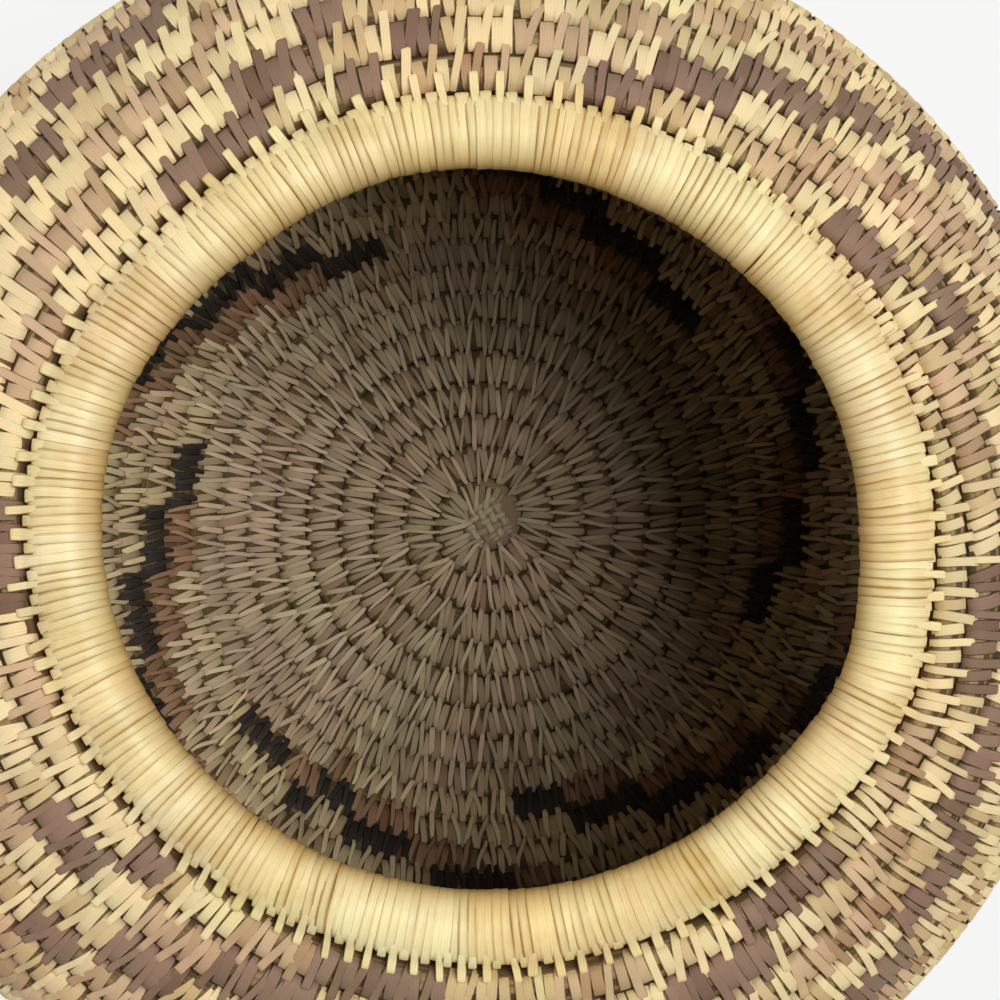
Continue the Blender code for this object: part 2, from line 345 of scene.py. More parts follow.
def bundle_mesh(name, centre, side, out, tall, deep, closed, flatness):
    """A tube through the centres, oval across, with its coordinates round and along it."""
    sides = 12
    angle = np.linspace(0, math.tau, sides, endpoint=False)
    ring = (
        centre[:, None]
        + side[:, None] * (np.sin(angle)[None, :, None] * tall[:, None, None])
        + out[:, None] * (flat_cosine(angle, flatness)[None, :, None] * deep[:, None, None])
    )
    # It stays off the table
    ring[..., 2] = np.maximum(ring[..., 2], 0.0004)
    mesh = bpy.data.meshes.new(name)
    mesh.from_pydata(ring.reshape(-1, 3), [], tube_faces(len(centre), sides, closed))
    run = np.concatenate([[0], np.cumsum(np.linalg.norm(np.diff(centre, axis=0), axis=1))])
    lay = mesh.uv_layers.new(name="UVMap")
    for face in mesh.polygons:
        for loop, corner in zip(face.loop_indices, face.vertices):
            lay.data[loop].uv = (corner % sides / sides, run[corner // sides] / 0.01)
    mesh.shade_smooth()
    outward(mesh)
    return mesh


def outward(mesh):
    """Turns every face outwards."""
    shape = bmesh.new()
    shape.from_mesh(mesh)
    bmesh.ops.recalc_face_normals(shape, faces=shape.faces)
    shape.to_mesh(mesh)
    shape.free()


def coil_bundle(name, first, last):
    """The bundle between two turns."""
    turn = np.arange(first, last + 1e-9, 1 / STATIONS_PER_TURN)
    centre, along, up, half = coil_frame(turn)
    tall = half * BUNDLE_OVERLAP
    deep = BUNDLE_DEEP * np.minimum(half / ROW_HALF, 1)
    return bundle_mesh(name, centre, up, np.cross(along, up), tall, deep, False, FLATNESS)


# The dark stems stand where the painted shade is deepest, the light ones on the outer crest
grass = stem_material("grass_bundle", colour(90, 70, 42), colour(172, 145, 98))
for zone, first, last, slot in ZONES:
    mesh = coil_bundle(f"{zone}_grass", first, last)
    mesh.materials.append(grass)
    new_piece(f"{zone}_grass", mesh, slot, zone)

# The pattern
# Stepped blocks of dark splint, each followed by a tan one, climb the wall as leaning bands.
# The rows count up from the start knot, and the angles are degrees seen from above. The top
# six rows and rows 8 to 10 follow the basket, and the bands between join them up.
DARK_BLOCKS = {
    30: ((31, 41), (68, 77), (101, 108), (117, 134), (175, 188), (221, 227), (249, 264), (303, 316)),
    29: ((20, 30), (59, 69), (95, 101), (109, 119), (210, 220), (236, 249), (291, 305), (340, 354)),
    28: ((50, 60), (105, 109), (227, 236), (327, 340)),
    27: ((43, 51), (136, 143), (220, 226), (316, 327)),
    26: ((36, 43), (121, 136), (306, 316)),
    10: ((8, 23), (67, 80), (133, 146), (187, 201), (244, 255), (298, 311)),
    9: ((54, 71), (122, 133), (177, 189), (232, 244), (285, 300), (351, 365)),
    8: ((41, 56), (110, 122), (163, 175), (218, 230), (274, 286), (338, 351)),
}
TAN_BLOCKS = {
    30: ((46, 54), (85, 93), (150, 163), (195, 203), (237, 248), (278, 290), (325, 335)),
    29: ((7, 20), (42, 50), (78, 85), (136, 150), (227, 236), (316, 325)),
    28: ((30, 42), (68, 76), (120, 136), (205, 213), (304, 316)),
    27: ((25, 35), (60, 67), (115, 120), (228, 235)),
    26: ((50, 58), (214, 221)),
}
# Where a band starts on row 10, where it is on its last row, and which row that is
BANDS = (
    (67, 212, 25), (133, 298, 25), (187, 388, 25), (244, 472, 25), (298, 420, 20), (368, 470, 18),
)
PLAIN, CREAM, TAN, DARK = 0.0, 0.3, 0.6, 0.9
# The directions of the blocks are seen from this point
PATTERN_MIDDLE = (0.0046, 0.0027)


def blocks_of(row):
    """The dark and the tan blocks of a row."""
    if row < 8:
        return (), ()
    if row in DARK_BLOCKS and row > 10:
        return DARK_BLOCKS[row], TAN_BLOCKS.get(row, ())
    if row in DARK_BLOCKS:
        dark = DARK_BLOCKS[row]
        return dark, tuple((end, end + 12) for _, end in dark)
    dark = []
    for first, last, end_row in BANDS:
        if row <= end_row:
            share = (row - 10) / (end_row - 10)
            start = first + (last - first) * (share + 0.12 * share * (1 - share))
            dark.append((start, start + 12.5 - 3 * share))
    return tuple(dark), tuple((end, end + 9) for _, end in dark)


def inside_block(azimuth, blocks):
    found = np.zeros(len(azimuth), bool)
    for start, end in blocks:
        found |= np.remainder(azimuth - start, 360) < end - start
    return found


def dye_of(turn, centre):
    """Which colour each stitch has, from its row and its direction seen from above."""
    row = np.round(climb(turn)).astype(int)
    x, y = (centre[:, :2] - PATTERN_MIDDLE).T
    azimuth = np.degrees(np.arctan2(y, x))
    dye = np.where(row < 8, PLAIN, CREAM)
    for number in range(8, 31):
        dark, tan = blocks_of(number)
        here = row == number
        dye[here & inside_block(azimuth, tan)] = TAN
        dye[here & inside_block(azimuth, dark)] = DARK
    dye[row > 30] = CREAM
    return dye


# Strips to sew with
# Each is a short closed strip, split flat and cut square, in the frame of its row: X along the
# coil, Y up the wall and Z out of it. A tooth reaches over the row below, and a filler lies
# between two teeth and ends at the groove. Sizes are millimetres here.
OVAL_TALL = 3.1
OVAL_DEEP = 2.55


def strip_mesh(name, path, width, thickness, closed=False, edge=0.2, start=0.0):
    """A strip along a path, in metres, from millimetres. edge is how thick its edges are, and
    start is the coordinate along it where it begins."""
    path = np.array(path, float)
    count = len(path)
    if closed:
        heading = np.roll(path, -1, axis=0) - np.roll(path, 1, axis=0)
    else:
        heading = np.gradient(path, axis=0)
    side = np.array((1.0, 0.0, 0.0))
    out = unit(np.cross(unit(heading), side))
    across = np.array((-0.5, -0.42, 0.0, 0.42, 0.5, 0.0))[None, :, None]
    lift = np.array((edge, 0.88, 1.0, 0.88, edge, -0.1))[None, :, None]
    width = np.broadcast_to(width, count)[:, None, None]
    thickness = np.broadcast_to(thickness, count)[:, None, None]
    points = path[:, None] + side * across * width + out[:, None] * lift * thickness
    sides = 6
    mesh = bpy.data.meshes.new(name)
    mesh.from_pydata(points.reshape(-1, 3) * 0.001, [], tube_faces(count, sides, closed))
    lay = mesh.uv_layers.new(name="UVMap")
    across_share = (0.0, 0.08, 0.5, 0.92, 1.0, 0.5)
    spans = count if closed else count - 1
    for face in mesh.polygons:
        for loop, corner in zip(face.loop_indices, face.vertices):
            along_share = start + (1 - start) * (corner // sides) / spans
            lay.data[loop].uv = (across_share[corner % sides], along_share)
    mesh.shade_smooth()
    # The flat back ends in a crisp edge on either side, and at a square cut
    for line in mesh.edges:
        first, second = (divmod(corner, sides) for corner in line.vertices)
        lengthwise = first[1] == second[1] and first[1] in (1, 3)
        at_end = first[0] == second[0] and first[0] in (0, count - 1) and not closed
        line.use_edge_sharp = lengthwise or at_end
    outward(mesh)
    return mesh


def strip_collection(name, meshes):
    """A collection of strips to pick from, which no view layer shows."""
    collection = bpy.data.collections.new(name)
    for index, mesh in enumerate(meshes):
        collection.objects.link(bpy.data.objects.new(f"{name}_{index:02d}", mesh))
    return collection


def row_path(first, last, stations, foot, bow, deep=OVAL_DEEP):
    """A path over the face of a row, from its top round to an angle below its middle, then on
    through the points of the foot. It bows a little sideways."""
    # The stations are closest at the top, where the row is the most curved
    angle = np.radians(first + (last - first) * np.linspace(0, 1, stations) ** 1.4)
    path = [(0, OVAL_TALL * math.sin(a), deep * flat_cosine(a, FLATNESS)) for a in angle]
    path = np.array(path + foot, float)
    path[:, 0] = bow * np.sin(np.linspace(0, math.pi, len(path)))
    return path


def tapered(width, count, tip, root=0.85):
    """Widths along a strip: narrower where it comes out and at its tip, by these shares."""
    share = np.linspace(0, 1, count)
    return width * np.interp(share, (0, 0.25, 0.7, 1), (root, 1, 1, tip))


TOOTH_THICK = 0.34
FILLER_THICK = 0.3
teeth = []
for index, (reach, width, bow) in enumerate(
    ((0, 1.7, 0.14), (0.45, 1.52, -0.16), (-0.6, 1.84, 0), (0.65, 1.44, 0.2), (-0.3, 1.66, -0.1))
):
    foot = [(0, -3.1, 2.22), (0, -3.9, 2.34), (0, -4.7 - reach, 2.28), (0, -4.78 - reach, 1.85)]
    path = row_path(84, -36, 5, foot, bow)
    teeth.append(strip_mesh(f"tooth_{index}", path, tapered(width, 9, 1.02), TOOTH_THICK))
fillers = []
# Five short fillers, and five long ones that leave smaller holes
for index, (end, width, bow) in enumerate(
    (
        (-33, 2.3, 0.12), (-27, 2.1, -0.14), (-39, 2.4, 0.0), (-35, 2.0, 0.2), (-37, 2.2, -0.2),
        (-48, 2.3, 0.12), (-42, 2.1, -0.14), (-54, 2.4, 0.0), (-50, 2.0, 0.2), (-45, 2.2, -0.2),
    )
):
    tip = [(0, OVAL_TALL * math.sin(math.radians(end - 2)) - 0.04, 1.7)]
    path = row_path(84, end, 5, tip, bow, OVAL_DEEP - 0.02)
    fillers.append(strip_mesh(f"filler_{index}", path, tapered(width, 6, 1.0), FILLER_THICK))
pegs = []
for index, (reach, width, bow) in enumerate(
    ((0, 1.32, 0.1), (0.5, 1.12, -0.14), (-0.3, 1.45, 0), (0.3, 1.02, 0.18), (-0.15, 1.3, -0.16))
):
    end = -3.75 - reach
    path = [
        (0, 2.05 + reach, 1.6),
        (bow, 1.35 + reach, 2.38),
        (bow, 0.2, 2.58),
        (0, -1.4, 2.52),
        (-bow, -3.0, 2.38),
        (0, end, 2.36),
        (0, end - 0.25, 1.6),
    ]
    pegs.append(strip_mesh(f"peg_{index}", path, tapered(width, 7, 0.55, 0.6), TOOTH_THICK))
wads = []
for index, (end, width, bow) in enumerate(
    ((-58, 2.15, 0.2), (-48, 1.85, -0.24), (-66, 2.3, 0.0), (-52, 1.75, 0.3), (-62, 2.0, -0.3))
):
    tip = [(0, OVAL_TALL * math.sin(math.radians(end)) - 0.2, 1.2)]
    path = row_path(86, end, 5, tip, bow, OVAL_DEEP - 0.14)
    wads.append(strip_mesh(f"wad_{index}", path, tapered(width, 6, 0.75, 0.8), FILLER_THICK))
tooth_strips = strip_collection("tooth_strips", teeth)
filler_strips = strip_collection("filler_strips", fillers)
peg_strips = strip_collection("peg_strips", pegs)
wad_strips = strip_collection("wad_strips", wads)

# Sewing
# A tree of Geometry Nodes puts one strip on every place that it is given, turned into that
# place's frame, with some chance in its lean and width, and keeps it off the table.


def sewing_tree():
    tree = bpy.data.node_groups.new("sewing", "GeometryNodeTree")

    def socket(name, kind, default=None, in_out="INPUT"):
        made = tree.interface.new_socket(name=name, in_out=in_out, socket_type=f"NodeSocket{kind}")
        if default is not None:
            made.default_value = default

    socket("Places", "Geometry")
    socket("Strips", "Collection")
    socket("Kinds", "Int", 5)
    socket("Width spread", "Float", 0.12)
    socket("Seed", "Int", 1)
    socket("Table", "Float", 0.0001)
    socket("Fibre", "Material")
    socket("Sewn", "Geometry", in_out="OUTPUT")

    def node(kind, inputs=None, **settings):
        return add_node(tree, kind, inputs, **settings)

    def named(name, data_type):
        made = node("GeometryNodeInputNamedAttribute", {"Name": name}, data_type=data_type)
        return made.outputs["Attribute"]

    def chance(least, most, seed_step):
        """A different random number for each place."""
        seed = calculate(tree, "ADD", given.outputs["Seed"], seed_step)
        inputs = {"Min": least, "Max": most, "Seed": seed}
        return node("FunctionNodeRandomValue", inputs, data_type="FLOAT").outputs["Value"]

    given = node("NodeGroupInput")
    along = named("along", "FLOAT_VECTOR")
    up = named("up", "FLOAT_VECTOR")
    frame_turn = node(
        "FunctionNodeAxesToRotation",
        {"Primary Axis": along, "Secondary Axis": up},
        primary_axis="X",
        secondary_axis="Y",
    ).outputs["Rotation"]
    spread = named("spread", "FLOAT")
    lean = calculate(tree, "MULTIPLY_ADD", chance(-1.0, 1.0, 1), spread, named("lean", "FLOAT"))
    lean_turn = node("FunctionNodeAxisAngleToRotation", {"Axis": (0, 0, 1), "Angle": lean})
    inputs = {"Rotation": frame_turn, "Rotate By": lean_turn.outputs["Rotation"]}
    both = node("FunctionNodeRotateRotation", inputs, rotation_space="LOCAL")

    width_spread = given.outputs["Width spread"]
    width = calculate(tree, "MULTIPLY_ADD", chance(-1.0, 1.0, 2), width_spread, 1.0)
    widened = node("ShaderNodeCombineXYZ", {"X": width, "Y": 1.0, "Z": 1.0}).outputs["Vector"]
    sizes = {0: widened, 1: named("size", "FLOAT_VECTOR")}
    size = node("ShaderNodeVectorMath", sizes, operation="MULTIPLY")

    picked = calculate(tree, "MULTIPLY", chance(0.0, 0.999, 0), given.outputs["Kinds"])
    kind = calculate(tree, "ADD", calculate(tree, "FLOOR", picked), named("kind", "FLOAT"))
    strips = node(
        "GeometryNodeCollectionInfo",
        {"Collection": given.outputs["Strips"], "Separate Children": True, "Reset Children": True},
    )
    laid = node(
        "GeometryNodeInstanceOnPoints",
        {
            "Points": given.outputs["Places"],
            "Instance": strips.outputs["Instances"],
            "Pick Instance": True,
            "Instance Index": kind,
            "Rotation": both.outputs["Rotation"],
            "Scale": size.outputs["Vector"],
        },
    )
    real = node("GeometryNodeRealizeInstances", {"Geometry": laid.outputs["Instances"]})

    place = node("GeometryNodeInputPosition").outputs["Position"]
    parts = node("ShaderNodeSeparateXYZ", {"Vector": place}).outputs
    lifted = calculate(tree, "MAXIMUM", parts["Z"], given.outputs["Table"])
    whole = node("ShaderNodeCombineXYZ", {"X": parts["X"], "Y": parts["Y"], "Z": lifted})
    inputs = {"Geometry": real.outputs["Geometry"], "Position": whole.outputs["Vector"]}
    settled = node("GeometryNodeSetPosition", inputs).outputs["Geometry"]
    inputs = {"Geometry": settled, "Material": given.outputs["Fibre"]}
    sewn = node("GeometryNodeSetMaterial", inputs).outputs["Geometry"]
    node("NodeGroupOutput", {"Sewn": sewn})
    return tree


sewing = sewing_tree()


def sew(name, places, strips, slot, *nodes, **inputs):
    """A piece with one strip on each place. places maps attribute names to their values."""
    carrier = bpy.data.meshes.new(name)
    carrier.from_pydata(places["centre"], [], [])
    for key, values in places.items():
        if key == "centre":
            continue
        kind = "FLOAT_VECTOR" if values.ndim == 2 else "FLOAT"
        field = "vector" if values.ndim == 2 else "value"
        made = carrier.attributes.new(key, kind, "POINT")
        made.data.foreach_set(field, values.astype(np.float32).ravel())
    piece = bpy.data.objects.new(name, carrier)
    bpy.context.scene.collection.objects.link(piece)
    modifier = piece.modifiers.new("sewing", "NODES")
    modifier.node_group = sewing
    inputs["Strips"] = strips
    for item in sewing.interface.items_tree:
        if item.in_out == "INPUT" and item.name in inputs:
            modifier[item.identifier] = inputs[item.name]
    graph = bpy.context.evaluated_depsgraph_get()
    mesh = bpy.data.meshes.new_from_object(
        piece.evaluated_get(graph), preserve_all_data_layers=True, depsgraph=graph
    )
    mesh.name = name
    for key in ("along", "up", "size", "lean", "spread", "kind"):
        if key in mesh.attributes:
            mesh.attributes.remove(mesh.attributes[key])
    bpy.data.objects.remove(piece)
    bpy.data.meshes.remove(carrier)
    return new_piece(name, mesh, slot, *nodes)


# Splint
# One material for the stitches of each face of the wall, and a darker copy of the inside's as
# painted shade for the strips that lie deeper between the pegs: the dye picks the colour, each
# stitch has its own tone, and fine fibres run along it. Outside the dyes have faded, and the
# inside is the more stained.


def stain_over(material, tint, strength):
    """The tint under soft patches of other tints, from large ones to specks."""
    place = add_node(material, "ShaderNodeTexCoord").outputs["Object"]
    inputs = {"Vector": place, "Scale": 45.0, "Detail": 6.0, "Roughness": 0.7}
    patches = add_node(material, "ShaderNodeTexNoise", inputs).outputs["Color"]
    inputs = {0: patches, 1: (strength,) * 3, 2: (1 - strength / 2,) * 3}
    veil = add_node(material, "ShaderNodeVectorMath", inputs, operation="MULTIPLY_ADD")
    inputs = {0: tint, 1: veil.outputs["Vector"]}
    stained = add_node(material, "ShaderNodeVectorMath", inputs, operation="MULTIPLY")
    return stained.outputs["Vector"]


def fibrous(material, tint, fibres, least, most):
    """The tint, darker along some of its fibres."""
    inputs = {0: tint, 3: spread_over(material, fibres, 0.3, 0.7, least, most)}
    return add_node(material, "ShaderNodeVectorMath", inputs, operation="SCALE").outputs["Vector"]


def splint_material(name, colours, roughness, least, stain):
    """Plain, cream, tan and dark splint. least is how bright the darkest strips are."""
    material, surface = new_material(name, roughness)
    palette = add_node(material, "ShaderNodeValToRGB", {"Fac": attribute(material, "dye")})
    palette.color_ramp.interpolation = "CONSTANT"
    stops = palette.color_ramp.elements
    stops[0].color = colours[0]
    stops[1].position = 0.15
    stops[1].color = colours[1]
    for position, tint in ((0.45, colours[2]), (0.75, colours[3])):
        stops.new(position).color = tint
    tone = attribute(material, "tone")
    # The darker strips are the browner ones too
    aged = spread_over(material, tone, 0, 0.4, 0.5, 0)
    worn = multiplied(material, aged, palette.outputs["Color"], colour(228, 202, 176))
    toned = with_value(material, worn, spread_over(material, tone, 0, 1, least, 1.06))
    fibres = streaks(material, 9, 0.8, 4.0)
    stained = stain_over(material, fibrous(material, toned, fibres, 0.84, 1.05), stain)
    material.node_tree.links.new(stained, surface.inputs["Base Color"])
    bump(material, surface, fibres, 0.3, 0.0002)
    return material


outer_splint = splint_material(
    "splint_outside",
    (colour(176, 152, 116), colour(243, 219, 166), colour(212, 178, 138), colour(146, 117, 95)),
    roughness=0.62,
    least=0.76,
    stain=0.3,
)
inner_splint = splint_material(
    "splint_inside",
    (colour(200, 178, 146), colour(220, 198, 156), colour(172, 134, 100), colour(54, 47, 40)),
    roughness=0.7,
    least=0.66,
    stain=0.36,
)
# The inside splint again, darker all through: painted shade for the wads that lie deeper between the
# pegs, and for the start knot's pad
shaded_inner_splint = splint_material(
    "splint_between_painted_shade",
    (colour(180, 158, 125), colour(200, 178, 136), colour(156, 120, 90), colour(50, 44, 38)),
    roughness=0.75,
    least=0.7,
    stain=0.36,
)


# How far apart the wall's stitches are at these directions seen from above
CLOSENESS = (
    (0, 1.02), (30, 0.97), (45, 0.88), (62, 0.92), (75, 1.04), (135, 1.06), (160, 1.02),
    (185, 0.94), (215, 0.87), (240, 0.87), (270, 0.92), (300, 0.96), (330, 0.97), (360, 1.02),
)
STITCH_GAP = 0.0036


def around(table, azimuth):
    """What a table of directions in degrees gives at these azimuths."""
    return np.interp(np.degrees(azimuth) % 360, *zip(*table))


def stitch_turns(first, last, rng):
    """The turn of each stitch, spaced as the rows' stitches are, wider on the wall."""
    turns = []
    turn = first
    while turn < last:
        radius = max(np.interp(START_RADIUS + PITCH * turn, ARC, profile[:, 0]), 0.004)
        step = stitch_width(turn) / (math.tau * radius)
        turns.append(turn + rng.uniform(-0.12, 0.12) * step)
        turn += step
    return np.array(turns)


def stitch_width(turn):
    """Metres from stitch to stitch: wider on the wall, and closer on some sides of it."""
    wall = np.interp(turn, (0, 8, 12, 16, 22), (0.00235, 0.0026, 0.0030, 0.0033, 0.00358))
    side = around(CLOSENESS, azimuth_of(turn))
    return wall * (1 + (side - 1) * smooth((turn - 10) / 8))


def stitch_places(turn, rng, inside, narrowing=1.0):
    """Frames and sizes of one strip at each turn, with the pattern's dye. Where the stitches
    crowd together the strips narrow with them, by this share."""
    centre, along, up, half = coil_frame(turn)
    scale = np.clip(half / ROW_HALF, 0.55, 1.1)
    crowding = 1 - narrowing * (1 - stitch_width(turn) / STITCH_GAP)
    size = [crowding * np.clip(scale, 0.85, 1), scale, np.minimum(scale, 1)]
    count = len(turn)
    return {
        "centre": centre,
        "along": -along if inside else along,
        "up": up,
        "size": np.stack(size, axis=-1),
        "lean": np.zeros(count),
        "spread": np.zeros(count),
        "kind": np.zeros(count),
        "dye": dye_of(turn, centre),
        "tone": rng.uniform(0, 1, count),
    }


# Stitches
# Outside each stitch is a long tooth with a short filler beside it, and inside a tapered peg
# with a wider strip beside it. How bright the strips are and how they lean, in degrees, drifts
# round the basket at these directions seen from above.
TONES = (
    (0, 0.0), (90, -0.1), (120, 0.0), (145, 0.4), (190, 0.1), (230, -0.1), (300, -0.15), (360, 0.0),
)
LEANS = (
    (0, 9), (30, 2), (90, -2), (140, -5), (200, -3), (240, -13), (262, -5), (300, -3), (340, 1),
    (360, 9),
)
for index, (zone, first, last, slot) in enumerate(ZONES):
    rng = np.random.default_rng(100 + index)
    start = -1.0 if first == 0 else first
    end = TURNS - 0.012 if last == TURNS else last
    turns = stitch_turns(start, end, rng)
    step = np.append(np.diff(turns), turns[-1] - turns[-2])
    between = turns + step * rng.uniform(0.46, 0.56, len(turns))

    tooth = stitch_places(turns, rng, False)
    azimuth = azimuth_of(turns)
    drift = np.radians(around(LEANS, azimuth))
    tooth["lean"] += drift - math.radians(1)
    # From 0 at 150 degrees to 2.5 on the far side
    away = 1.25 - 1.25 * np.cos(azimuth - math.radians(150))
    tooth["spread"] += np.radians(6 + 4 * smooth(away))
    # Where the stitches are closer their teeth are shorter too
    tooth["size"][:, 1] *= 0.5 + 0.5 * around(CLOSENESS, azimuth)
    # Only the top rows are made brighter, and dark dye hides such a drift
    tone_drift = around(TONES, azimuth)
    tone_drift = np.where(tone_drift > 0, tone_drift * smooth((turns - 25) / 4), tone_drift)
    tooth["tone"] = np.clip(tooth["tone"] + np.where(tooth["dye"] == DARK, 0.15, tone_drift), 0, 1)
    filler = stitch_places(between, rng, False, 0.8)
    filler["lean"] += drift + math.radians(7)
    filler["spread"] += math.radians(6)
    filler["dye"] = tooth["dye"]
    # A filler takes its tooth's tone with some chance, a little darker on the whole: painted shade,
    # as it lies deeper than the teeth
    filler["tone"] = np.clip(tooth["tone"] + rng.uniform(-0.3, 0.15, len(turns)), 0, 1)
    # Dark blocks are sewn closer, with little showing between the strips, and so is the side
    # away from 150 degrees
    filler["size"][filler["dye"] == DARK] *= (1.12, 1.08, 1.0)
    filler["kind"] = np.where(rng.uniform(0, 1, len(turns)) < away, 5.0, 0.0)
    # The topmost row's fillers start lower where it has its full height, and leave small
    # holes below the rim's turns
    topmost = (between > TURNS - 1) & (filler["size"][:, 1] > 0.95)
    filler["size"][topmost, 1] *= 0.88
    filler["centre"][topmost] -= filler["up"][topmost] * 0.0003
    peg = stitch_places(turns, rng, True, 0.6)
    peg["spread"] += math.radians(15)
    # Pegs keep off the darkest tones: painted light beside the shaded wads between them
    peg["tone"] = 0.15 + 0.85 * peg["tone"]
    wad = stitch_places(between, rng, True, 0.8)
    wad["lean"] += math.radians(6)
    wad["spread"] += math.radians(10)
    wad["dye"] = peg["dye"]
    for order, (kind, places, strips, fibre) in enumerate(
        (
            ("teeth", tooth, tooth_strips, outer_splint),
            ("fillers", filler, filler_strips, outer_splint),
            ("pegs", peg, peg_strips, inner_splint),
            ("wads", wad, wad_strips, shaded_inner_splint),
        )
    ):
        sew(f"{zone}_{kind}", places, strips, slot, zone, Seed=10 * order + index, Fibre=fibre)

# Start knot
# A dark pad, its darkness painted shade from the shaded copy of the inside splint, with short
# splints plaited over and under each other on both faces, and the first hook of the coil
# growing out of it.
KNOT_TURN = -1.05
knot_centre = wall_point(np.zeros(1), np.zeros(1), 1.0)[0]
hook = coil_bundle("start_knot_hook", KNOT_TURN, 0)
hook.materials.append(grass)
new_piece("start_knot_hook", hook, "start_knot", "start_knot")

# The pad's rings from the table up: how far each is drawn in and how high it is, in millimetres
PAD_RINGS = ((1.9, 1.1), (0.5, 1.4), (0.0, 2.8), (0.5, 4.1), (1.9, 4.45))
PAD_LEAST = 5.3
PAD_SIDES = 32
ROW_HEIGHT = 6.5
# Over this share of the round the pad takes in the hook's start and reaches the first row
HOOK_SHARE = 0.22


def pad_radius(angle):
    """The room up to the coil's inner side, which winds away from the pad, in millimetres."""
    share = (angle - TAIL_AZIMUTH) / math.tau % 1
    inner_side = 8.5 if share < HOOK_SHARE else 2.0
    return max(PAD_LEAST, inner_side + ROW_HEIGHT * share)


pad = bmesh.new()
pad_rings = []
for inset, height in PAD_RINGS:
    ring = []
    for angle in np.linspace(0, math.tau, PAD_SIDES, endpoint=False):
        radius = (pad_radius(angle) - inset) * 0.001
        x = knot_centre[0] + radius * math.cos(angle)
        y = knot_centre[1] + radius * math.sin(angle)
        ring.append(pad.verts.new((x, y, height * 0.001)))
    pad_rings.append(ring)
for below_ring, above_ring in zip(pad_rings, pad_rings[1:]):
    for i in range(PAD_SIDES):
        j = (i + 1) % PAD_SIDES
        pad.faces.new((below_ring[i], below_ring[j], above_ring[j], above_ring[i]))
pad.faces.new(pad_rings[0][::-1])
pad.faces.new(pad_rings[-1])
pad_mesh = bpy.data.meshes.new("start_knot_pad")
pad.to_mesh(pad_mesh)
pad.free()
pad_mesh.shade_smooth()
outward(pad_mesh)
# The pad's darkness is painted shade, from the shaded copy of the inside splint
pad_mesh.materials.append(shaded_inner_splint)
new_piece("start_knot_pad", pad_mesh, "start_knot", "start_knot")

PLAIT_LANES = (-2, -1, 0, 1, 2)
PLAIT_GAP = 1.62
PLAIT_TURN = math.radians(28)
PLAIT_HEIGHTS = ((1, 0.00472), (-1, 0.00092))


def plait_path(direction, lane):
    """A splint of the plait, which goes over and under those that cross it."""
    run = np.linspace(-4.86, 4.86, 25)
    lift = 0.24 * np.cos(run * math.pi / PLAIT_GAP + math.pi * (lane + direction))
    lift -= 1.2 * np.maximum(np.abs(run) - 4.0, 0)
    return np.stack([np.zeros(25), run, lift], axis=-1)


plaits = strip_collection(
    "plaits",
    [
        strip_mesh(f"plait_{direction * 5 + lane + 2}", plait_path(direction, lane), 1.36, 0.42)
        for direction in (0, 1)
        for lane in PLAIT_LANES
    ],
)
plait = []
for face, height in PLAIT_HEIGHTS:
    for direction in (0, 1):
        angle = PLAIT_TURN + direction * math.pi / 2
        run = np.array((math.cos(angle), math.sin(angle), 0))
        side = np.cross(run, (0, 0, face))
        for lane in PLAIT_LANES:
            place = knot_centre[:2] + side[:2] * (lane * PLAIT_GAP * 0.001)
            plait.append(((*place, height), side, run, direction * 5 + lane + 2))
plait_centre, plait_along, plait_up, plait_kind = (np.array(part, float) for part in zip(*plait))
count = len(plait)
rng = np.random.default_rng(7)
plait_places = {
    "centre": plait_centre,
    "along": plait_along,
    "up": plait_up,
    "size": np.ones((count, 3)),
    "lean": np.zeros(count),
    "spread": np.full(count, math.radians(5)),
    "kind": plait_kind,
    "dye": np.full(count, PLAIN),
    "tone": rng.uniform(0, 1, count),
}
inputs = {"Kinds": 1, "Seed": 50, "Fibre": inner_splint}
sew("start_knot_plait", plait_places, plaits, "start_knot", "start_knot", **inputs)

# Rim
# The rim's own thick bundle, and round it 28 splints, each of ten or so close turns. Every
# third turn or so reaches down over the topmost row as a tooth.
RIM_STATIONS = 180
RIM_CORE_RADIUS = 0.00526


def rim_frame(azimuth):
    """Centre, direction along the rim and direction from the topmost row to the rim."""
    centre = rim_point(azimuth)
    along = unit(rim_point(azimuth + 0.01) - rim_point(azimuth - 0.01))
    seat = wall_point(np.full(np.shape(azimuth), RIM_ARC - RIM_SEAT), azimuth, ROUND_COIL)
    return centre, along, square_to(along, centre - seat)


centre, along, up = rim_frame(np.linspace(0, math.tau, RIM_STATIONS, endpoint=False))
core_radius = np.full(RIM_STATIONS, RIM_CORE_RADIUS)
rim_core = bundle_mesh(
    "rim_core_grass", centre, up, np.cross(along, up), core_radius, core_radius, True, 1.0
)
rim_core.materials.append(grass)
new_piece("rim_core_grass", rim_core, "rim_core", "rim_core")

rings = []
ring_angle = np.linspace(math.pi, 3 * math.pi, 24, endpoint=False)
for index, (width, bow, radius) in enumerate(
    ((1.68, 0.0, 5.3), (1.76, 0.08, 5.2), (1.58, -0.1, 5.38), (1.7, 0.12, 5.25))
):
    sideways = bow * np.sin(ring_angle * 2 + index)
    path = [sideways, radius * np.sin(ring_angle), radius * np.cos(ring_angle)]
    path = np.stack(path, axis=-1)[::-1]
    # Seen from the rim's centre the mouth lies along +Y, where the turns crowd together
    narrowing = 1 - np.sin(ring_angle[::-1]) * radius / (RIM[0] * 1000)
    rings.append(strip_mesh(f"ring_{index}", path, width * narrowing, 0.4, True, 0.8))
rim_teeth = []
